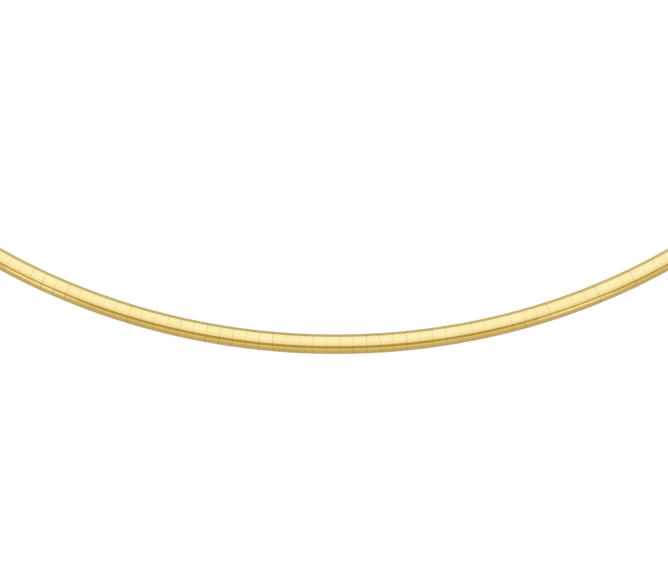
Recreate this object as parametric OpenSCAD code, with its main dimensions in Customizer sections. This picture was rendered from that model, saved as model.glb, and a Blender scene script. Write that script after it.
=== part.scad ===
// Omega necklace: narrow domed plates, crimped side by side round a flat woven mesh,
// make one stiff, smooth band. Two end caps close the band, and a box clasp joins them.
// It lies flat. Its underside is at z = 0, and the middle of the loop is the origin.
// The front of the necklace is at -Y and the clasp is at +Y. All sizes are in millimetres.

/* [Loop] */
// Length round the middle of the band, clasp included
loop_len = 406; // [380:1:480]
// Width of the band, from its neck side to its outer side
band_w = 2; // [1.8:0.1:4]
// Height of the band at the crown of its plates
band_h = 1.4; // [1.2:0.1:2]
// How far the dome of a plate rises across the width of the band
crown_h = 0.35; // [0.25:0.05:0.6]
// Height of the widest point of the rounded sides
belly_z = 0.5; // [0.3:0.05:0.7]

/* [Plates] */
// Length of one plate along the band, with its seam
plate_pitch = 1.34; // [1.2:0.01:3]
// Thickness of the plate metal
plate_t = 0.25; // [0.2:0.05:0.35]
// Width of the seam between two plates
seam_w = 0.1; // [0.06:0.01:0.15]
// Depth of the seam
seam_depth = 0.15; // [0.1:0.01:0.18]
// Width of the slot left between a plate's folded edges, underneath
slot_w = 0.6; // [0.3:0.1:1]

/* [Mesh core] */
// Clearance between neighbouring pieces
fit_gap = 0.1; // [0.05:0.01:0.15]
// Length of mesh that reaches into each end cap
tail_len = 2; // [1:0.5:3]

/* [End caps] */
// Least length of an end cap, which also takes up what the plates leave over
cap_len = 4; // [3.5:0.5:8]
// How far a cap stands out past the plates
cap_proud = 0.15; // [0.05:0.05:0.4]
// Length of the tongue that reaches from a cap into the clasp
tongue_len = 2; // [1:0.5:3]
// Width of the tongue
tongue_w = 1; // [0.6:0.1:1.2]
// Thickness of the tongue
tongue_t = 0.6; // [0.4:0.1:0.7]

/* [Clasp] */
// Length of the clasp along the band
clasp_len = 9; // [8:0.5:16]
// How far the clasp stands out past the band, at its sides and on top
clasp_proud = 0.4; // [0.2:0.1:1]
// Radius of the clasp's rounded corners and top edges
clasp_corner_r = 0.3; // [0.1:0.05:0.5]

/* [Hidden] */

ring_fn = 256;
arc_fn = 96;
front_deg = 270;
back_deg = 90;
runs_a_side = 6;
mesh_runs_a_side = 24;
// A length past any face, for cuts that have to go right through
past = 1;

ring_r = loop_len / (2 * PI);
dome_r = (pow(band_w / 2, 2) + pow(crown_h, 2)) / (2 * crown_h);
clasp_w = band_w + 2 * clasp_proud;
clasp_h = band_h + clasp_proud;
tongue_z = (band_h - tongue_t) / 2;

// Angle that a length along the middle of the band takes up, to the nearest 0.002 degree,
// so that runs of plates meet face to face
function turn(length) = round(500 * length / ring_r * 180 / PI) / 500;

// The caps start where even their neck side is clear of the clasp's flat end
neck_side_r = ring_r - band_w / 2 - cap_proud;
cap_start = asin((clasp_len / 2 + fit_gap) / neck_side_r);
plate_deg = turn(plate_pitch);
seam_deg = turn(seam_w);
plates_a_side = floor((180 - cap_start - turn(cap_len + fit_gap)) / plate_deg);
plates_deg = plates_a_side * plate_deg;
cap_deg = 180 - plates_deg - turn(fit_gap) - cap_start;

// Cross-section of the band, its metal grown outwards by grow and cut flat at bottom
module band_outline(grow, bottom) {
  intersection() {
    translate([0, band_h - dome_r]) circle(r = dome_r + grow, $fn = arc_fn);
    translate([0, belly_z]) circle(r = band_w / 2 + grow, $fn = arc_fn);
    translate([-band_w, bottom]) square([2 * band_w, band_h + grow]);
  }
}

// Cross-section of a plate: a channel whose edges are folded under the mesh
module plate_outline() {
  difference() {
    band_outline(0, 0);
    band_outline(-plate_t, plate_t);
    translate([-slot_w / 2, -past]) square([slot_w, past + band_h / 2]);
  }
}

// Sweeps a cross-section round the loop from an angle, with its x pointing outwards
module sweep(start, angle) {
  rotate_extrude(start = start, angle = angle, $fn = ring_fn)
    translate([ring_r, 0]) children();
}

// Cross-section of the cutter for one seam, which leaves the inner part of the plate metal
module seam_outline() {
  difference() {
    translate([-band_w, -past]) square([2 * band_w, band_h + 2 * past]);
    band_outline(-seam_depth, seam_depth);
  }
}

// The plates from the front to the cap at +X, in runs that each end in the middle of a seam
module half_of_plates() {
  for (run = [0 : runs_a_side - 1]) {
    from = round(run * plates_a_side / runs_a_side);
    to = round((run + 1) * plates_a_side / runs_a_side);
    start = from == 0 ? seam_deg / 2 : from * plate_deg;
    difference() {
      sweep(front_deg + start, to * plate_deg - start) plate_outline();
      for (i = [max(from, 1) : min(to, plates_a_side - 1)])
        sweep(front_deg + i * plate_deg - seam_deg / 2, seam_deg) seam_outline();
    }
  }
}

module plates_right() {
  color("gold") half_of_plates();
}

module plates_left() {
  color("gold") mirror([1, 0, 0]) half_of_plates();
}

// The ribbon is made of short runs that meet face to face, so that its mesh follows the loop
module mesh_core() {
  half = plates_deg + turn(fit_gap + tail_len);
  inset = plate_t + fit_gap;
  color("goldenrod")
    for (run = [0 : mesh_runs_a_side - 1]) {
      from = round(500 * half * run / mesh_runs_a_side) / 500;
      to = round(500 * half * (run + 1) / mesh_runs_a_side) / 500;
      for (side = [0, 1])
        mirror([side, 0, 0])
          sweep(front_deg + from, to - from) band_outline(-inset, inset);
    }
}

// Cap at the +X side of the clasp: its tongue points at the clasp, its socket at the plates
module end_cap() {
  tail = turn(tail_len + 2 * fit_gap);
  tongue = turn(tongue_len);
  difference() {
    union() {
      sweep(back_deg - cap_start - cap_deg, cap_deg) band_outline(cap_proud, 0);
      sweep(back_deg - cap_start, tongue)
        translate([-tongue_w / 2, tongue_z]) square([tongue_w, tongue_t]);
    }
    sweep(back_deg - cap_start - cap_deg - turn(past), tail + turn(past))
      band_outline(-plate_t, plate_t);
  }
}

module end_cap_right() {
  color("gold") end_cap();
}

module end_cap_left() {
  color("gold") mirror([1, 0, 0]) end_cap();
}

// Rounded rectangle from x = -w/2 to w/2 and y = 0 to h
module rounded_slab(w, h, r) {
  translate([r - w / 2, 0]) square([w - 2 * r, h]);
  translate([-w / 2, r]) square([w, h - 2 * r]);
  for (x = [r - w / 2, w / 2 - r], y = [r, h - r])
    translate([x, y]) circle(r = r, $fn = arc_fn);
}

module clasp() {
  y = ring_r * cos(cap_start);
  socket = turn(tongue_len + 2 * fit_gap);
  color("gold")
    difference() {
      intersection() {
        translate([0, y - clasp_w / 2]) linear_extrude(clasp_h)
          rounded_slab(clasp_len, clasp_w, clasp_corner_r);
        translate([0, y + clasp_w, -clasp_corner_r]) rotate([90, 0, 0])
          linear_extrude(2 * clasp_w)
            rounded_slab(clasp_len, clasp_h + clasp_corner_r, clasp_corner_r);
      }
      for (side = [0, 1])
        mirror([side, 0, 0])
          sweep(back_deg - cap_start - turn(past), socket + turn(past))
            translate([-tongue_w / 2 - fit_gap, tongue_z - fit_gap])
              square([tongue_w + 2 * fit_gap, tongue_t + 2 * fit_gap]);
    }
}

plates_left();
plates_right();
mesh_core();
end_cap_left();
end_cap_right();
clasp();
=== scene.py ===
# %% [markdown]
# # An omega necklace
#
# An omega necklace looks like one smooth, stiff band of gold. It is really a row of narrow
# domed plates, each folded round a flat woven mesh and pressed tight against its neighbours.
# The necklace lies on a pale table here, and we look down on its front.
# The measured model comes in first. It fixes every size, so we only dress it.

# %% Load the measured model
import math
from functools import partial

import bmesh
import bpy
from mathutils import Matrix, Vector


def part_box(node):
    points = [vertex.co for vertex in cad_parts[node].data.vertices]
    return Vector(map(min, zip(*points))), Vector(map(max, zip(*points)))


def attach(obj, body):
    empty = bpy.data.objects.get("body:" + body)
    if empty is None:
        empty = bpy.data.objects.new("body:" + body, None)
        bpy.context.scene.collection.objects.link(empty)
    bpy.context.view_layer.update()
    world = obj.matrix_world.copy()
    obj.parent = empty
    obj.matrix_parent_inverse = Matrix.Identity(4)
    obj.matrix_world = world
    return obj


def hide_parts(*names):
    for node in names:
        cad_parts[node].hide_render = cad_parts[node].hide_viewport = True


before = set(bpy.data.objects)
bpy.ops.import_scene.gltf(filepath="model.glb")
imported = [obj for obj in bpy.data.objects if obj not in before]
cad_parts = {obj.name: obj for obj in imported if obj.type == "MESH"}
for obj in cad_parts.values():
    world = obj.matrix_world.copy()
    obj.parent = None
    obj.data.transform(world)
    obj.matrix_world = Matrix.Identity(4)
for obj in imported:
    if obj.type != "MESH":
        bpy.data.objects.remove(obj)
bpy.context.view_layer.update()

print("solids:", sorted(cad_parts))

# %% [markdown]
# ## Sizes
#
# Blender works in metres, so one named millimetre keeps the numbers readable.
# The height of the band and the radius of the loop are read from the model.
# The others are the driving sizes of the band, as a goldsmith would give them.

# %% Name the sizes
MM = 0.001
plates_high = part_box("plates_right")[1]
BAND_WIDTH = 2.0 * MM
BAND_HEIGHT = plates_high[2]
LOOP_RADIUS = plates_high[0] - BAND_WIDTH / 2
CROWN_RISE = 0.35 * MM
BELLY_HEIGHT = 0.5 * MM
DOME_RADIUS = ((BAND_WIDTH / 2) ** 2 + CROWN_RISE**2) / (2 * CROWN_RISE)
PLATE_THICKNESS = 0.25 * MM
FOLD_SLOT = 0.6 * MM
STEPS_A_DEGREE = 500
print(f"band {BAND_WIDTH / MM:.2f} x {BAND_HEIGHT / MM:.2f} mm, loop radius {LOOP_RADIUS / MM:.2f} mm")


def turn(length):
    """Angle that a length along the band takes up, rounded as the measured model rounds it."""
    steps = round(STEPS_A_DEGREE * math.degrees(length / LOOP_RADIUS))
    return math.radians(steps / STEPS_A_DEGREE)


# %% [markdown]
# ## The section of the band
#
# Cut across, the band is a flat-bottomed oval: a wide shallow dome on top, rounded sides and
# a flat underside. It could be drawn point by point, but a rule gives as many points as a piece
# needs, and also draws the inside of the sheet and the slightly larger caps.
# Three shapes make it: the dome's circle, the sides' circle and the table. From a point inside,
# we measure how far each of them is along a ray, and take the nearest. A soft minimum takes
# nearly the nearest, and rounds the corners where two of them meet.
# A ray that hardly falls would meet the table too far away to matter, so it leaves it out.

# %% Measure the section along a ray
RAY_CENTRE = 0.6 * MM
CORNER_SHARPNESS = 26
LEAST_FALL = 0.01


def reach(direction, centre, radius):
    """Distance from the ray centre to a circle, along a direction (across, up)."""
    across, up = direction
    offset = RAY_CENTRE - centre
    along = up * offset
    return -along + math.sqrt(along**2 - offset**2 + radius**2)


def section_point(angle, grow=0.0, floor=0.0):
    """Point (across, up) of the band's outline. The angle is from straight up, outwards."""
    across, up = math.sin(angle), math.cos(angle)
    distances = [
        reach((across, up), BAND_HEIGHT - DOME_RADIUS, DOME_RADIUS + grow),
        reach((across, up), BELLY_HEIGHT, BAND_WIDTH / 2 + grow),
    ]
    if up < -LEAST_FALL:
        distances.append((RAY_CENTRE - floor) / -up)
    nearest = min(distances)
    soft = sum((nearest / distance) ** CORNER_SHARPNESS for distance in distances)
    distance = nearest * soft ** (-1 / CORNER_SHARPNESS)
    return (across * distance, RAY_CENTRE + up * distance)


crown = section_point(0)[1] / MM
half_width = section_point(math.pi / 2)[0] / MM
print(f"crown at {crown:.3f} mm, side at {half_width:.3f} mm")

# %% [markdown]
# ## One plate
#
# A plate is a short channel of thin gold sheet. Its edges are folded under, and leave a slot
# in the middle of the underside. The loop turns a little at each plate, so a plate is a wedge,
# wider at its outer end, and meets its neighbours with an even seam. Its two ends are eased by
# about a hundredth of a millimetre: that fine bevel draws the seam as a hairline. The bevel's
# edges are kept sharp, so that the shading of the polished face stays true up to the seam.
# No two seams on a real band are alike, so three plates are made, eased by different amounts.

# %% Size one plate
PLATE_STEP = turn(1.34 * MM)
SEAM_GAP = 0.004 * MM
EASED_EDGES = {"Crisp Plate": 0.006 * MM, "Even Plate": 0.014 * MM, "Worn Plate": 0.023 * MM}
print(f"one plate takes up {math.degrees(PLATE_STEP):.3f} degrees of the loop")

# %% [markdown]
# A plate has only a few dozen faces, because there are hundreds of plates. Modifiers could
# thicken a bent sheet and bevel its ends, but they would spend more faces on it. So we lay
# rings: lines of points from one folded edge, over the dome, to the other. Each point also
# keeps its place on the flat strip that the plate was pressed from, for the polishing lines.

# %% Lay a ring of points across the plate
OUTER_STEPS = 22
INNER_STEPS = 8


def fan(slot_floor, steps):
    """Angles from one side of the slot, over the top, to its other side."""
    last = math.pi - math.atan2(FOLD_SLOT / 2, RAY_CENTRE - slot_floor)
    return [last * (2 * i / steps - 1) for i in range(steps + 1)]


def plate_end(x, side, inset):
    """How far along the band a plate ends. It widens outwards, so its seams stay even."""
    return side * ((LOOP_RADIUS + x) * math.tan(PLATE_STEP / 2) - SEAM_GAP / 2 - inset)


def plate_ring(mesh, angles, side, inset, grow, floor):
    """Points across the plate near one of its ends, each with its place on the flat strip."""
    strip_place = mesh.verts.layers.float_vector["strip_place"]
    ring = []
    across = 0.0
    for angle in angles:
        x, z = section_point(angle, grow, floor)
        vert = mesh.verts.new((x, plate_end(x, side, inset), z))
        if ring:
            across += math.hypot(x - ring[-1].co.x, z - ring[-1].co.z)
        vert[strip_place] = (vert.co.y, across, 0.0)
        ring.append(vert)
    return ring


print("points in a ring:", OUTER_STEPS + 1, "outside,", INNER_STEPS + 1, "inside")

# %% [markdown]
# Faces join each ring to the next. Four rings carry the outside: the two in the middle edge the
# polished face, and the outermost two lie lower, at the foot of the bevels. Two rings carry the
# inside. The ends and the folded edges are faces too, so the plate is closed all round.


# %% Join the rings with faces
def join_rings(mesh, outer, inner):
    """Faces over the outside, the inside, the two ends and the two folded edges of a plate."""
    for near, far in zip(outer, outer[1:]):
        for i in range(OUTER_STEPS):
            mesh.faces.new((near[i], far[i], far[i + 1], near[i + 1]))
    for i in range(INNER_STEPS):
        mesh.faces.new((inner[0][i], inner[0][i + 1], inner[1][i + 1], inner[1][i]))
    mesh.faces.new(outer[0] + inner[0][::-1])
    mesh.faces.new(outer[-1][::-1] + inner[1])
    for edge in (0, -1):
        fold = [ring[edge] for ring in outer] + [inner[1][edge], inner[0][edge]]
        mesh.faces.new(fold if edge == 0 else fold[::-1])
    bmesh.ops.recalc_face_normals(mesh, faces=mesh.faces)


print("faces in a plate:", 3 * OUTER_STEPS + INNER_STEPS + 4)


# %% Put a piece into the scene
def new_object(name, data):
    """Puts a mesh, a light or a camera into the scene."""
    thing = bpy.data.objects.new(name, data)
    bpy.context.collection.objects.link(thing)
    return thing


def mesh_object(name, mesh):
    """Ends the work on a mesh, and puts it into the scene."""
    data = bpy.data.meshes.new(name)
    mesh.to_mesh(data)
    mesh.free()
    return new_object(name, data)


# %% Build the three plates
def build_plate(name, eased):
    """A closed plate at the origin, with its ends eased by this much."""
    mesh = bmesh.new()
    mesh.verts.layers.float_vector.new("strip_place")
    outer_angles = fan(0.0, OUTER_STEPS)
    inner_angles = fan(PLATE_THICKNESS, INNER_STEPS)
    ends = ((-1, 0.0, -eased), (-1, eased, 0.0), (1, eased, 0.0), (1, 0.0, -eased))
    outer = [plate_ring(mesh, outer_angles, side, inset, grow, -grow) for side, inset, grow in ends]
    wall = PLATE_THICKNESS
    inner = [plate_ring(mesh, inner_angles, side, 0.0, -wall, wall) for side in (-1, 1)]
    join_rings(mesh, outer, inner)
    eased_rings = [set(ring) for ring in outer]
    for face in mesh.faces:
        face.smooth = True
    for edge in mesh.edges:
        edge.smooth = not any(set(edge.verts) <= ring for ring in eased_rings)
    return mesh_object(name, mesh)


plates = {name: build_plate(name, eased) for name, eased in EASED_EDGES.items()}
for name, plate in plates.items():
    print(name, "has", len(plate.data.polygons), "faces")

# %% [markdown]
# ## Helpers for node trees
#
# Geometry and materials are both made from nodes. One small function adds a node, sets its
# properties and inputs, and wires in any input that is given as another node or its output.


# %% Add a node in one line
def add_node(tree, kind, inputs=None, **settings):
    """Adds a node. An input goes by name or number, as a value, or as a node or socket to link."""
    node = tree.nodes.new(kind)
    for name, value in settings.items():
        setattr(node, name, value)
    for key, value in (inputs or {}).items():
        if isinstance(value, bpy.types.Node):
            value = value.outputs[0]
        if isinstance(value, bpy.types.NodeSocket):
            tree.links.new(value, node.inputs[key])
        else:
            node.inputs[key].default_value = value
    return node


def linear(hex_colour):
    """A hex colour as it is seen on a screen, turned to the linear values that light needs."""
    channels = [int(hex_colour[i : i + 2], 16) / 255 for i in (1, 3, 5)]
    curve = [c / 12.92 if c <= 0.04045 else ((c + 0.055) / 1.055) ** 2.4 for c in channels]
    return (*curve, 1.0)


def new_material(name):
    """An empty material, with a function that adds nodes to its tree."""
    material = bpy.data.materials.new(name)
    material.use_nodes = True
    material.node_tree.nodes.clear()
    return material, partial(add_node, material.node_tree)


print("mid grey on a screen is", round(linear("#808080")[0], 3), "of white in light")

# %% [markdown]
# ## Yellow gold
#
# The plates are 14 karat yellow gold, rolled into strip, pressed and polished. Gold is a bare
# metal, so its colour is the colour of its reflection. Polishing leaves it glossy, with very
# slight waves and with fine lines along the band, where the buffing wheel ran. The lines need
# a direction, so they are drawn on each plate's place on its flat strip: noise that is stretched
# along the strip and squeezed across it. Real lines are a few thousandths of a millimetre apart,
# and these are drawn ten times as coarse, so that a close view shows them.
# A random value that every plate carries turns its colour a little, and moves it far enough
# through the noise to give it lines of its own.

# %% Choose the colours and the scale of the polish
GOLD = "#E7CB7E"
GOLD_WARM = "#E3C472"
CLOUD_SIZE = 4.0 * MM
LINE_LENGTH = 3.0 * MM
LINE_SPACING = 0.04 * MM
LINE_DEPTH = 0.0004 * MM
LINE_CONTRAST = {"From Min": 0.3, "From Max": 0.7}
PLATE_ROUGHNESS = {"To Min": 0.09, "To Max": 0.17}
PLATES_APART = 50.0
WAVE_SIZE = 1.2 * MM
WAVE_DEPTH = 0.01 * MM
WAVE_STRENGTH = 0.25
print(f"polishing lines: {LINE_LENGTH / MM} mm long, {LINE_SPACING / MM} mm apart")


# %% Mix the polished gold of the plates
def polished_gold_plates():
    """The gold of the plates, buffed along the band and very slightly waved."""
    material, add = new_material("polished_yellow_gold_plates")
    place = add("ShaderNodeTexCoord").outputs["Object"]
    plate = add("ShaderNodeAttribute", attribute_name="plate_shade").outputs["Fac"]
    cloud = add("ShaderNodeTexNoise", {"Vector": place, "Scale": 1 / CLOUD_SIZE, "Detail": 2.0})
    warmth = add("ShaderNodeMath", {0: plate, 1: cloud}, operation="MULTIPLY")
    tones = {"Factor": warmth, "A": linear(GOLD), "B": linear(GOLD_WARM)}
    colour = add("ShaderNodeMix", tones, data_type="RGBA")
    strip = add("ShaderNodeAttribute", attribute_name="strip_place").outputs["Vector"]
    spacing = (1 / LINE_LENGTH, 1 / LINE_SPACING, 0.0)
    squeezed = add("ShaderNodeVectorMath", {0: strip, 1: spacing}, operation="MULTIPLY")
    own_lines = add("ShaderNodeMath", {0: plate, 1: PLATES_APART}, operation="MULTIPLY")
    drawn = {"Vector": squeezed, "W": own_lines, "Scale": 1.0, "Detail": 2.0}
    lines = add("ShaderNodeTexNoise", drawn, noise_dimensions="4D")
    varied = add("ShaderNodeMapRange", {"Value": lines, **LINE_CONTRAST, **PLATE_ROUGHNESS})
    buffed = add("ShaderNodeBump", {"Height": lines, "Strength": 1.0, "Distance": LINE_DEPTH})
    wave = add("ShaderNodeTexNoise", {"Vector": place, "Scale": 1 / WAVE_SIZE, "Detail": 1.0})
    swell = {"Height": wave, "Strength": WAVE_STRENGTH, "Distance": WAVE_DEPTH, "Normal": buffed}
    waved = add("ShaderNodeBump", swell)
    metal = add(
        "ShaderNodeBsdfPrincipled",
        {"Base Color": colour.outputs["Result"], "Metallic": 1.0, "Roughness": varied, "Normal": waved},
    )
    add("ShaderNodeOutputMaterial", {"Surface": metal})
    return material


plate_gold = polished_gold_plates()
print("material:", plate_gold.name)

# %% [markdown]
# ## The row of plates
#
# Some three hundred plates stand round the loop. Placing them by hand or with an array
# would work, but Geometry Nodes give the whole row from a few numbers: how many plates,
# the radius, the step from one to the next, and how far a plate may lean by chance.
# The points come from their index, one of the three plates is picked for each by chance, and
# the instances are made real at the end, because an exported model can't hold instances.
# The clasp and the two caps take up the back of the loop, and the plates fill the rest.

# %% Count the plates
CAP_PROUD = 0.15 * MM
CLASP_HALF = 4.5 * MM
FIT_GAP = 0.1 * MM
CAP_LENGTH = 4.0 * MM
cap_start = math.asin((CLASP_HALF + FIT_GAP) / (LOOP_RADIUS - BAND_WIDTH / 2 - CAP_PROUD))
plates_a_side = math.floor((math.pi - cap_start - turn(CAP_LENGTH + FIT_GAP)) / PLATE_STEP)
plates_end = plates_a_side * PLATE_STEP
print("plates:", 2 * plates_a_side)

# %% [markdown]
# A few helpers serve every tree. One starts a tree with its named inputs, one gives a place
# on the loop, and one ends the tree. The last one runs a tree on an empty mesh and keeps the
# result as a plain mesh, so that no modifier is left on the finished piece.


# %% Start and end a tree
def new_tree(name, sockets):
    """A Geometry Nodes tree with named inputs, given as (name, type, value)."""
    tree = bpy.data.node_groups.new(name, "GeometryNodeTree")
    tree.interface.new_socket("Geometry", in_out="OUTPUT", socket_type="NodeSocketGeometry")
    for label, kind, value in sockets:
        socket = tree.interface.new_socket(label, in_out="INPUT", socket_type="NodeSocket" + kind)
        if value is not None:
            socket.default_value = value
    return tree, tree.nodes.new("NodeGroupInput").outputs


def round_loop(tree, angle, radius, up):
    """A place on a circle round the origin. Angle 0 is the front, and it grows towards +X."""
    to_front = add_node(tree, "ShaderNodeMath", {0: radius, 1: -1.0}, operation="MULTIPLY")
    front = add_node(tree, "ShaderNodeCombineXYZ", {"Y": to_front, "Z": up})
    swept = {"Vector": front, "Angle": angle}
    return add_node(tree, "ShaderNodeVectorRotate", swept, rotation_type="Z_AXIS")


def close_tree(tree, geometry, material):
    """Realizes the instances, gives the material and ends the tree."""
    real = add_node(tree, "GeometryNodeRealizeInstances", {"Geometry": geometry})
    dressed = add_node(tree, "GeometryNodeSetMaterial", {"Geometry": real, "Material": material})
    add_node(tree, "NodeGroupOutput", {"Geometry": dressed})


print(f"the row ends {math.degrees(plates_end):.2f} degrees from the front on both sides")


# %% Run a tree
def grow_piece(name, tree, values):
    """Runs a tree with its inputs set, and keeps the result as a plain mesh."""
    seedling = new_object(name + "_seedling", bpy.data.meshes.new(name))
    modifier = seedling.modifiers.new(name, "NODES")
    modifier.node_group = tree
    for item in tree.interface.items_tree:
        if item.in_out == "INPUT" and item.name in values:
            modifier[item.identifier] = values[item.name]
    bpy.context.view_layer.update()
    evaluated = seedling.evaluated_get(bpy.context.evaluated_depsgraph_get())
    grown = bpy.data.meshes.new_from_object(evaluated)
    grown.name = name
    bpy.data.objects.remove(seedling)
    print(name, "has", len(grown.polygons), "faces")
    return new_object(name, grown)


# %% [markdown]
# The tree of the row spreads the plates evenly to both sides of the front. Three random values
# make it a real row: which kind of plate stands in a place, how far it leans, and its shade.
# Each has a seed of its own, counted on from the seed of the row.

# %% Give each plate its place
SEED_OF_SHADE = 1.0
SEED_OF_KIND = 2.0


def plate_places(tree, given):
    """A point for each plate, evenly to both sides of the front, and the way the plate faces."""
    add = partial(add_node, tree)
    index = add("GeometryNodeInputIndex")
    last = add("ShaderNodeMath", {0: given["Count"], 1: 1.0}, operation="SUBTRACT")
    middle = add("ShaderNodeMath", {0: last, 1: 0.5}, operation="MULTIPLY")
    from_middle = add("ShaderNodeMath", {0: index, 1: middle}, operation="SUBTRACT")
    angle = add("ShaderNodeMath", {0: from_middle, 1: given["Step"]}, operation="MULTIPLY")
    points = add("GeometryNodePoints", {"Count": given["Count"]})
    place = round_loop(tree, angle, given["Loop Radius"], 0.0)
    row = add("GeometryNodeSetPosition", {"Geometry": points, "Position": place})
    facing = add("ShaderNodeMath", {0: angle, 1: math.pi / 2}, operation="SUBTRACT")
    return row, add("ShaderNodeCombineXYZ", {"Z": facing})


def stand_plates(tree, given, row, facing):
    """Stands a plate at each point. Its kind is picked by chance."""
    add = partial(add_node, tree)
    kinds = add("GeometryNodeJoinGeometry")
    for name in EASED_EDGES:
        kind = add("GeometryNodeObjectInfo", {"Object": given[name], "As Instance": True})
        tree.links.new(kind.outputs["Geometry"], kinds.inputs[0])
    kind_seed = add("ShaderNodeMath", {0: given["Seed"], 1: SEED_OF_KIND}, operation="ADD")
    kind_range = {"Min": 0, "Max": len(EASED_EDGES) - 1, "Seed": kind_seed}
    pick = add("FunctionNodeRandomValue", kind_range, data_type="INT").outputs["Value"]
    picked = {"Instance": kinds, "Pick Instance": True, "Instance Index": pick}
    return add("GeometryNodeInstanceOnPoints", {"Points": row, "Rotation": facing, **picked})


print("kinds of plate:", len(EASED_EDGES))


# %% Write the tree of the row
def plate_row_tree():
    """The row of plates. Each leans a little by chance, and carries a shade of its own."""
    tree, given = new_tree(
        "row_of_plates",
        [
            *((name, "Object", None) for name in EASED_EDGES),
            ("Count", "Int", 10),
            ("Loop Radius", "Float", 0.06),
            ("Step", "Float", 0.02),
            ("Lean", "Float", 0.0),
            ("Seed", "Int", 0),
            ("Material", "Material", None),
        ],
    )
    add = partial(add_node, tree)
    placed = stand_plates(tree, given, *plate_places(tree, given))
    either_way = {"Min": (-1.0, -1.0, 0.0), "Max": (1.0, 1.0, 0.0), "Seed": given["Seed"]}
    chance = add("FunctionNodeRandomValue", either_way, data_type="FLOAT_VECTOR").outputs["Value"]
    lean = add("ShaderNodeVectorMath", {0: chance, "Scale": given["Lean"]}, operation="SCALE")
    leant = add("GeometryNodeRotateInstances", {"Instances": placed, "Rotation": lean})
    shade_seed = add("ShaderNodeMath", {0: given["Seed"], 1: SEED_OF_SHADE}, operation="ADD")
    shade = add("FunctionNodeRandomValue", {"Seed": shade_seed}, data_type="FLOAT").outputs["Value"]
    shaded = add(
        "GeometryNodeStoreNamedAttribute",
        {"Geometry": leant, "Name": "plate_shade", "Value": shade},
        data_type="FLOAT",
        domain="INSTANCE",
    )
    close_tree(tree, shaded, given["Material"])
    return tree


row_tree = plate_row_tree()
print("tree:", row_tree.name, "with", len(row_tree.nodes), "nodes")

# %% Grow the row
PLATE_LEAN = math.radians(0.12)
ROW_SEED = 7
plate_row = grow_piece(
    "plate_row",
    row_tree,
    {
        **plates,
        "Count": 2 * plates_a_side,
        "Loop Radius": LOOP_RADIUS,
        "Step": PLATE_STEP,
        "Lean": PLATE_LEAN,
        "Seed": ROW_SEED,
        "Material": plate_gold,
    },
)
for plate in plates.values():
    bpy.data.objects.remove(plate)
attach(plate_row, "root")
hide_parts("plates_left", "plates_right")

# %% [markdown]
# ## The woven mesh
#
# The plates are crimped on a flat ribbon of braided gold wire. It gives the necklace its
# spring, and shows only in the slot between the folded edges, underneath. Seven thin wires
# cross over and under each other. Each swings from side to side along a sine, and rises and
# dips at twice that rate, so that it passes over one neighbour and under the next.
# A short stretch could be modelled and repeated, but its ends would have to match each time.
# Nodes draw each wire whole, from one end of the band to the other.
# The wire is drawn and not polished, so it is a little deeper in colour and less glossy, and
# the die leaves fine marks on it. They are drawn a tenth of a millimetre wide, coarser than
# the real ones, so that a close view shows them.


# %% Mix the drawn gold of the wire
def grained_gold(name, colour, grain_size, detail, roughness, marks):
    """Gold with a fine grain, which varies its roughness and leaves slight marks on it."""
    material, add = new_material(name)
    place = add("ShaderNodeTexCoord").outputs["Object"]
    grain = add("ShaderNodeTexNoise", {"Vector": place, "Scale": 1 / grain_size, "Detail": detail})
    varied = add("ShaderNodeMapRange", {"Value": grain, **roughness})
    marked = add("ShaderNodeBump", {"Height": grain, **marks})
    metal = add(
        "ShaderNodeBsdfPrincipled",
        {"Base Color": linear(colour), "Metallic": 1.0, "Roughness": varied, "Normal": marked},
    )
    add("ShaderNodeOutputMaterial", {"Surface": metal})
    return material


wire_gold = grained_gold(
    "drawn_yellow_gold_wire",
    colour="#D9B568",
    grain_size=0.1 * MM,
    detail=3.0,
    roughness={"To Min": 0.22, "To Max": 0.38},
    marks={"Strength": 0.3, "Distance": 0.005 * MM},
)
print("material:", wire_gold.name)

# %% Size the braid
mesh_low, mesh_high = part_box("mesh_core")
WIRES = 7
WIRE_SIDES = 5
WIRE_RADIUS = 0.085 * MM
BRAID_LENGTH = 2.1 * MM
POINTS_A_SWING = 14
RIBBON_HALF_WIDTH = mesh_high[0] - LOOP_RADIUS
RIBBON_LIFT = 0.26 * MM
RIBBON_MIDDLE = mesh_low[2] + RIBBON_LIFT
RIBBON_SWELL = 0.14 * MM
print(f"ribbon {2 * RIBBON_HALF_WIDTH / MM:.2f} mm wide, of {WIRES} wires")


# %% Swing a wire
def wire_place(tree, given, angle, phase):
    """A place on a wire, which swings to both sides, and rises and dips at twice that rate."""
    add = partial(add_node, tree)
    swung = add("ShaderNodeMath", {0: phase}, operation="SINE")
    to_side = {0: swung, 1: given["Half Width"], 2: given["Loop Radius"]}
    radius = add("ShaderNodeMath", to_side, operation="MULTIPLY_ADD")
    doubled = add("ShaderNodeMath", {0: phase, 1: 2.0}, operation="MULTIPLY")
    risen = add("ShaderNodeMath", {0: doubled}, operation="SINE")
    to_height = {0: risen, 1: given["Swell"], 2: given["Middle"]}
    up = add("ShaderNodeMath", to_height, operation="MULTIPLY_ADD")
    return round_loop(tree, angle, radius, up)


print(f"a wire swings to both sides once in {BRAID_LENGTH / MM} mm")


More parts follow.
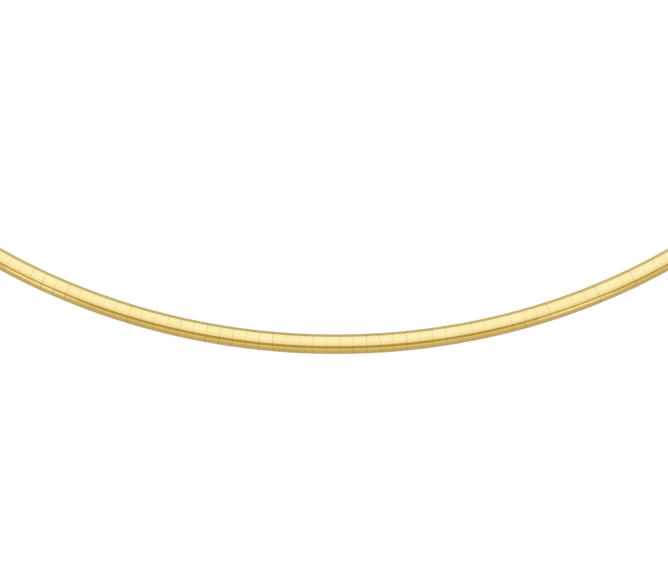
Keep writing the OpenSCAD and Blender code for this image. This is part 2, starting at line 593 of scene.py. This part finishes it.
# %% Write the tree of the braid
def braid_tree():
    """The braid. Its wires all swing alike, each a part of a swing after the one before."""
    tree, given = new_tree(
        "braided_ribbon",
        [
            ("Count", "Int", 100),
            ("Loop Radius", "Float", 0.06),
            ("Half Angle", "Float", 3.0),
            ("Swings", "Float", 100.0),
            ("Half Width", "Float", 0.001),
            ("Swell", "Float", 0.0001),
            ("Middle", "Float", 0.001),
            ("Wire Radius", "Float", 0.0001),
            ("Material", "Material", None),
        ],
    )
    add = partial(add_node, tree)
    index = add("GeometryNodeInputIndex")
    last = add("ShaderNodeMath", {0: given["Count"], 1: 1.0}, operation="SUBTRACT")
    share = add("ShaderNodeMath", {0: index, 1: last}, operation="DIVIDE")
    centred = add("ShaderNodeMath", {0: share, 1: 2.0, 2: -1.0}, operation="MULTIPLY_ADD")
    angle = add("ShaderNodeMath", {0: centred, 1: given["Half Angle"]}, operation="MULTIPLY")
    turns = add("ShaderNodeMath", {0: share, 1: given["Swings"]}, operation="MULTIPLY")
    swing = add("ShaderNodeMath", {0: turns, 1: 2 * math.pi}, operation="MULTIPLY")
    wire_size = {"Resolution": WIRE_SIDES, "Radius": given["Wire Radius"]}
    circle = add("GeometryNodeCurvePrimitiveCircle", wire_size)
    wires = add("GeometryNodeJoinGeometry")
    for wire in range(WIRES):
        phase = add("ShaderNodeMath", {0: swing, 1: 2 * math.pi * wire / WIRES}, operation="ADD")
        line = add("GeometryNodeMeshLine", {"Count": given["Count"]})
        route = {"Geometry": line, "Position": wire_place(tree, given, angle, phase)}
        curve = add("GeometryNodeMeshToCurve", {0: add("GeometryNodeSetPosition", route)})
        drawn = {"Curve": curve, "Profile Curve": circle, "Fill Caps": True}
        tree.links.new(add("GeometryNodeCurveToMesh", drawn).outputs[0], wires.inputs[0])
    close_tree(tree, wires, given["Material"])
    return tree


braid_grower = braid_tree()
print("tree:", braid_grower.name, "with", len(braid_grower.nodes), "nodes")

# %% Grow the braid
TAIL = 2.0 * MM
braid_half_angle = plates_end + turn(FIT_GAP + TAIL)
braid_swings = round(2 * braid_half_angle * LOOP_RADIUS / BRAID_LENGTH)
braid = grow_piece(
    "woven_mesh",
    braid_grower,
    {
        "Count": braid_swings * POINTS_A_SWING,
        "Loop Radius": LOOP_RADIUS,
        "Half Angle": braid_half_angle,
        "Swings": float(braid_swings),
        "Half Width": RIBBON_HALF_WIDTH - WIRE_RADIUS,
        "Swell": RIBBON_SWELL,
        "Middle": RIBBON_MIDDLE,
        "Wire Radius": WIRE_RADIUS,
        "Material": wire_gold,
    },
)
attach(braid, "root")
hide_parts("mesh_core")

# %% [markdown]
# ## Caps and clasp
#
# At the back, a cap closes each end of the band, and a box clasp joins the caps. They are cast
# from the same gold as the plates and polished by hand, so their gloss is less even, and there
# are no lines along the band. The unevenness is a few tenths of a millimetre wide.

# %% Mix the polished gold of the fittings
fitting_gold = grained_gold(
    "polished_yellow_gold_fittings",
    colour=GOLD,
    grain_size=0.3 * MM,
    detail=4.0,
    roughness={"To Min": 0.12, "To Max": 0.24},
    marks={"Strength": 0.2, "Distance": 0.006 * MM},
)
print("material:", fitting_gold.name)

# %% [markdown]
# A cap has a socket for the mesh on one side and a tongue for the clasp on the other. It could
# be cut from a block with booleans, but a skin stretched over a line of sections, like a lofted
# hull, gives cleaner faces. Every section has as many points as the next, so a step, a bevel or
# a socket is only one more section.

# %% Draw the sections
SECTION_POINTS = 48
CORNER_STEPS = SECTION_POINTS // 4 - 1
BEVEL = 0.08 * MM
BEVEL_STEPS = 5


def band_section(grow, floor):
    """The band's outline, grown and with its own floor, as points (across, up)."""
    angles = [2 * math.pi * i / SECTION_POINTS for i in range(SECTION_POINTS)]
    return [section_point(angle, grow, floor) for angle in angles]


def box_section(width, height, middle, corner=BEVEL):
    """A rectangle with round corners, as points (across, up). It starts at the top right."""
    points = []
    for quarter, (side, top) in enumerate(((1, 1), (1, -1), (-1, -1), (-1, 1))):
        for step in range(CORNER_STEPS + 1):
            angle = math.pi / 2 * (quarter + step / CORNER_STEPS)
            across = side * (width / 2 - corner) + math.sin(angle) * corner
            up = top * (height / 2 - corner) + math.cos(angle) * corner
            points.append((across, middle + up))
    return points


def rounded_end(start, direction, section, radius=BEVEL):
    """Stations of a rounded end: (place, section) pairs, from its flat face to full size."""
    stations = []
    for step in range(BEVEL_STEPS + 1):
        angle = math.pi / 2 * step / BEVEL_STEPS
        inset = radius * (1 - math.sin(angle))
        stations.append((start + direction * radius * (1 - math.cos(angle)), section(-inset)))
    return stations


print("points in a section:", SECTION_POINTS)

# %% Stretch a skin over the sections
SHARP_ANGLE = math.radians(40)


def loft(name, rings, material):
    """A closed skin over rings of points. Its two ends are closed flat, and flats stay flat."""
    mesh = bmesh.new()
    loops = [[mesh.verts.new(point) for point in ring] for ring in rings]
    for near, far in zip(loops, loops[1:]):
        for i in range(SECTION_POINTS):
            j = (i + 1) % SECTION_POINTS
            mesh.faces.new((near[i], near[j], far[j], far[i]))
    mesh.faces.new(loops[0][::-1])
    mesh.faces.new(loops[-1])
    bmesh.ops.recalc_face_normals(mesh, faces=mesh.faces)
    for face in mesh.faces:
        face.smooth = True
    for edge in mesh.edges:
        if len(edge.link_faces) == 2 and edge.calc_face_angle() > SHARP_ANGLE:
            edge.smooth = False
    piece = mesh_object(name, mesh)
    piece.data.materials.append(material)
    normals = piece.modifiers.new("flat_faces", "WEIGHTED_NORMAL")
    normals.keep_sharp = True
    return piece


print(f"edges sharper than {math.degrees(SHARP_ANGLE):.0f} degrees stay sharp")

# %% Build the end caps
TONGUE_LENGTH = 2.0 * MM
TONGUE_WIDTH = 1.0 * MM
TONGUE_THICKNESS = 0.6 * MM
cap_length = (math.pi - cap_start - plates_end - turn(FIT_GAP)) * LOOP_RADIUS


def cap_outline(inset):
    """The section of a cap, which stands proud of the band all round but underneath."""
    return band_section(CAP_PROUD + inset, -inset)


def build_cap(name, side):
    """The cap on one side of the clasp: side 1 is +X, and side -1 is -X."""
    tongue = box_section(TONGUE_WIDTH, TONGUE_THICKNESS, BAND_HEIGHT / 2)
    tongue_tip = box_section(TONGUE_WIDTH - BEVEL, TONGUE_THICKNESS - BEVEL, BAND_HEIGHT / 2)
    socket = band_section(-PLATE_THICKNESS, PLATE_THICKNESS)
    stations = [(-TONGUE_LENGTH, tongue_tip), (BEVEL / 2 - TONGUE_LENGTH, tongue), (0.0, tongue)]
    stations += rounded_end(0.0, 1, cap_outline)
    stations += rounded_end(cap_length, -1, cap_outline)[::-1]
    stations += [(cap_length, socket), (cap_length - TAIL - 2 * FIT_GAP, socket)]
    rings = []
    for place, section in stations:
        angle = math.pi - cap_start - place / LOOP_RADIUS
        sine, cosine = math.sin(angle) * side, math.cos(angle)
        rings.append([((LOOP_RADIUS + x) * sine, -(LOOP_RADIUS + x) * cosine, z) for x, z in section])
    cap = loft(name, rings, fitting_gold)
    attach(cap, "root")
    return cap


cap_right = build_cap("cap_right", 1)
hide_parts("end_cap_right")
cap_left = build_cap("cap_left", -1)
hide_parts("end_cap_left")
print("caps:", len(cap_right.data.polygons), "faces each")

# %% [markdown]
# The clasp is a small closed box, with every edge rounded by the same radius, and a pocket in
# each end for a tongue. A Bevel modifier would round a cube as well, but it would leave the
# pockets to be cut, and in a skin each takes only two more sections. Along the box, the
# section's own corners round the edges. Towards an end, each section is drawn in and its
# corners get smaller by as much, so that the box's corners come out as parts of a ball.

# %% Build the clasp
clasp_low, clasp_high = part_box("clasp")
CLASP_CORNER = 0.3 * MM
LEAST_CORNER = 0.02 * MM


def clasp_outline(inset):
    """The section of the clasp, drawn in by a negative inset, with its corners as much smaller."""
    width = clasp_high[1] - clasp_low[1] + 2 * inset
    height = clasp_high[2] - clasp_low[2] + 2 * inset
    middle = (clasp_high[2] + clasp_low[2]) / 2
    return box_section(width, height, middle, max(CLASP_CORNER + inset, LEAST_CORNER))


def build_clasp():
    """The closed box between the caps, which stands across the back of the loop."""
    middle = (clasp_low[1] + clasp_high[1]) / 2
    pocket = box_section(TONGUE_WIDTH + 2 * FIT_GAP, TONGUE_THICKNESS + 2 * FIT_GAP, BAND_HEIGHT / 2)
    depth = TONGUE_LENGTH + 2 * FIT_GAP
    stations = [(depth - CLASP_HALF, pocket), (-CLASP_HALF, pocket)]
    stations += rounded_end(-CLASP_HALF, 1, clasp_outline, CLASP_CORNER)
    stations += rounded_end(CLASP_HALF, -1, clasp_outline, CLASP_CORNER)[::-1]
    stations += [(CLASP_HALF, pocket), (CLASP_HALF - depth, pocket)]
    rings = [[(place, middle + across, up) for across, up in section] for place, section in stations]
    clasp = loft("box_clasp", rings, fitting_gold)
    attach(clasp, "root")
    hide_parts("clasp")
    return clasp


clasp = build_clasp()
print("clasp:", len(clasp.data.polygons), "faces")

# %% [markdown]
# ## The table
#
# The necklace lies on a sheet of pale satin card that is lit from below, as on a photographer's
# light table, so that it reads as white and the shadow stays faint. The satin card mirrors
# the room at a low angle, and that is the glint on the lower side of the band. Polished gold
# would turn as pale as a bright table, so the metal sees only a part of the glow.

# %% Lay the table
TABLE_SIZE = 3.0
TABLE_CARD = "#B6A983"
CARD_ROUGHNESS = 0.25
TABLE_GLOW = 1.2
GLOW_SEEN = 0.82
GLOW_MIRRORED = 0.3


def satin_card():
    """Card with its glow mixed in, strongly for the camera and weakly for the metal."""
    material, add = new_material("satin_card_lit_from_below")
    satin = {"Base Color": linear(TABLE_CARD), "Roughness": CARD_ROUGHNESS}
    card = add("ShaderNodeBsdfPrincipled", satin)
    glow = add("ShaderNodeEmission", {"Strength": TABLE_GLOW})
    ray = add("ShaderNodeLightPath").outputs
    to_metal = {0: ray["Is Glossy Ray"], 1: GLOW_MIRRORED}
    mirrored = add("ShaderNodeMath", to_metal, operation="MULTIPLY")
    to_eye = {0: ray["Is Camera Ray"], 1: GLOW_SEEN, 2: mirrored}
    share = add("ShaderNodeMath", to_eye, operation="MULTIPLY_ADD")
    table = add("ShaderNodeMixShader", {0: share, 1: card, 2: glow})
    add("ShaderNodeOutputMaterial", {"Surface": table})
    return material


def build_table():
    """The sheet of card. It is there for the picture, and is no part of the necklace."""
    mesh = bmesh.new()
    bmesh.ops.create_grid(mesh, x_segments=1, y_segments=1, size=TABLE_SIZE / 2)
    table = mesh_object("table", mesh)
    table.data.materials.append(satin_card())
    return table


table = build_table()
print("table:", TABLE_SIZE, "m wide, of", table.data.materials[0].name)

# %% [markdown]
# ## The lights
#
# Polished metal shows what is round it, so each light is placed by what the band mirrors.
# A broad soft box hangs over the loop and reaches far behind it: it draws the wide bright
# stripe along the dome, and its near edge ends the stripe with the dark line. Two strips at
# the front corners brighten the outer face where the loop turns away. Two low walls of light
# at the sides are seen only by the eased edges, and keep the seams fine.
# The boxes are as cool as daylight, so that the gold between them and the room looks warm.
# The Standard view transform shows the light as it falls, without the soft curve of a film.

# %% Build a soft light
DAYLIGHT = "#AAC1FF"


def soft_light(name, place, target, size, radiance):
    """A soft box. Its power is worked out from how bright its face is to look."""
    width, length = size
    data = bpy.data.lights.new(name, "AREA")
    data.shape = "RECTANGLE"
    data.size = width
    data.size_y = length
    data.energy = radiance * math.pi * width * length
    data.color = linear(DAYLIGHT)[:3]
    light = new_object(name, data)
    light.location = place
    light.rotation_euler = (Vector(target) - Vector(place)).to_track_quat("-Z", "Y").to_euler()
    print(f"{name}: {width} x {length} m, {data.energy:.2f} W")


print("colour of the soft lights:", DAYLIGHT)

# %% Hang the soft lights
bpy.context.scene.view_settings.view_transform = "Standard"
soft_light(
    "overhead",
    place=(0.0, 0.205, 0.5),
    target=(0.0, 0.205, 0.0),
    size=(1.8, 1.19),
    radiance=1.32,
)
for side in (-1, 1):
    soft_light(
        "front_strip",
        place=(0.55 * side, -0.72, 0.24),
        target=(0.03 * side, -0.06, 0.0),
        size=(0.16, 0.4),
        radiance=1.1,
    )
    soft_light(
        "side_wall",
        place=(1.3 * side, 0.0, 0.2),
        target=(0.0, 0.0, 0.0),
        size=(0.9, 0.36),
        radiance=1.6,
    )

# %% [markdown]
# ## The room
#
# Between the lights the band mirrors the room, so its walls are shades and not pictures: each
# is a ramp over the height above the horizon, from 0 to 1 straight overhead. The near wall,
# behind the camera, is bright below and dark above, which draws the dark line and the paler
# line under it. The far wall is dim and cool: it draws the thin olive rim along the neck side,
# and gets brighter towards its corners, where the rim of the photographed band gets finer.

# %% Shade the walls of the room
WALLS = {
    "near": [
        (0.0, "#FFF9E7"),
        (0.22, "#FFF9E7"),
        (0.31, "#C3B686"),
        (0.85, "#C3B686"),
        (0.93, "#D2C495"),
    ],
    "far": [(0.0, "#C4CDD6"), (0.3, "#CBD4E0"), (0.52, "#DAE0F9")],
    "far corner": [(0.0, "#CBD7DE"), (0.25, "#ECF1F4"), (0.52, "#DAE0F9")],
}


def shade_walls(add, height):
    """The shade of each wall at a height, by the wall's name."""
    walls = {}
    for name, stops in WALLS.items():
        walls[name] = add("ShaderNodeValToRGB", {0: height})
        shades = walls[name].color_ramp.elements
        # A new ramp comes with two shades.
        for place, _ in stops[2:]:
            shades.new(place)
        for shade, (place, colour) in zip(shades, stops):
            shade.position = place
            shade.color = linear(colour)
    return walls


print("walls:", ", ".join(WALLS))

# %% [markdown]
# The walls run into each other without an edge, because an edge would show as a line on the
# gold. A direction's share of each wall comes from how far it points back or to the side.

# %% Light the room
NEAR_TO_FAR = (-0.2, 0.2)
MIDDLE_TO_CORNER = (0.02, 0.2)


def blend_walls(add, place, span, wall, other_wall):
    """Turns from one wall to the other as a direction's place goes over a span."""
    start, end = span
    share = add("ShaderNodeMapRange", {"Value": place, "From Min": start, "From Max": end})
    both = {"Factor": share, "A": wall, "B": other_wall}
    return add("ShaderNodeMix", both, data_type="RGBA").outputs["Result"]


def light_room():
    """Closes the scene in with its walls, which also give it a soft light all round."""
    world = bpy.data.worlds.new("studio_room")
    bpy.context.scene.world = world
    world.use_nodes = True
    world.node_tree.nodes.clear()
    add = partial(add_node, world.node_tree)
    direction = add("ShaderNodeTexCoord").outputs["Generated"]
    across, back, height = add("ShaderNodeSeparateXYZ", {0: direction}).outputs
    walls = shade_walls(add, height)
    sideways = add("ShaderNodeMath", {0: across}, operation="ABSOLUTE")
    far = blend_walls(add, sideways, MIDDLE_TO_CORNER, walls["far"], walls["far corner"])
    room = blend_walls(add, back, NEAR_TO_FAR, walls["near"], far)
    background = add("ShaderNodeBackground", {"Color": room, "Strength": 1.0})
    add("ShaderNodeOutputWorld", {"Surface": background})
    print("room:", world.name, "with", len(world.node_tree.nodes), "nodes")


light_room()

# %% [markdown]
# ## The camera
#
# The camera looks steeply down on the front of the loop, from far enough for a long lens.
# It is rolled a little, as the photographed band hangs lower on one side of the picture.
# It also stands a fraction of a plate round the loop, so that the seams fall where they
# should. We build it in front of the loop, and then turn it about the loop's axis.

# %% Set the camera
CAMERA_DISTANCE = 0.5
CAMERA_AZIMUTH = math.radians(0.525)
CAMERA_ELEVATION = math.radians(63.36)
CAMERA_ROLL = math.radians(2.43)
CAMERA_AIM = Vector((2.61 * MM, -57.6 * MM, 0.0))
CAMERA_LENS = 266.4
SENSOR_WIDTH = 36.0
NEAREST_SEEN = 10 * MM


def build_camera():
    """A camera with a long lens, which looks down on the front of the loop."""
    data = bpy.data.cameras.new("camera")
    data.sensor_fit = "HORIZONTAL"
    data.sensor_width = SENSOR_WIDTH
    data.lens = CAMERA_LENS
    data.clip_start = NEAREST_SEEN
    camera = new_object("camera", data)
    towards = Vector((0.0, -math.cos(CAMERA_ELEVATION), math.sin(CAMERA_ELEVATION)))
    round_the_loop = Matrix.Rotation(CAMERA_AZIMUTH, 4, "Z")
    camera.location = round_the_loop @ (CAMERA_AIM + towards * CAMERA_DISTANCE)
    tilt = Matrix.Rotation(math.pi / 2 - CAMERA_ELEVATION, 4, "X")
    roll = Matrix.Rotation(CAMERA_ROLL, 4, "Z")
    camera.rotation_euler = (round_the_loop @ tilt @ roll).to_euler()
    bpy.context.scene.camera = camera
    return camera


camera = build_camera()
print("camera at", [round(v, 3) for v in camera.location])
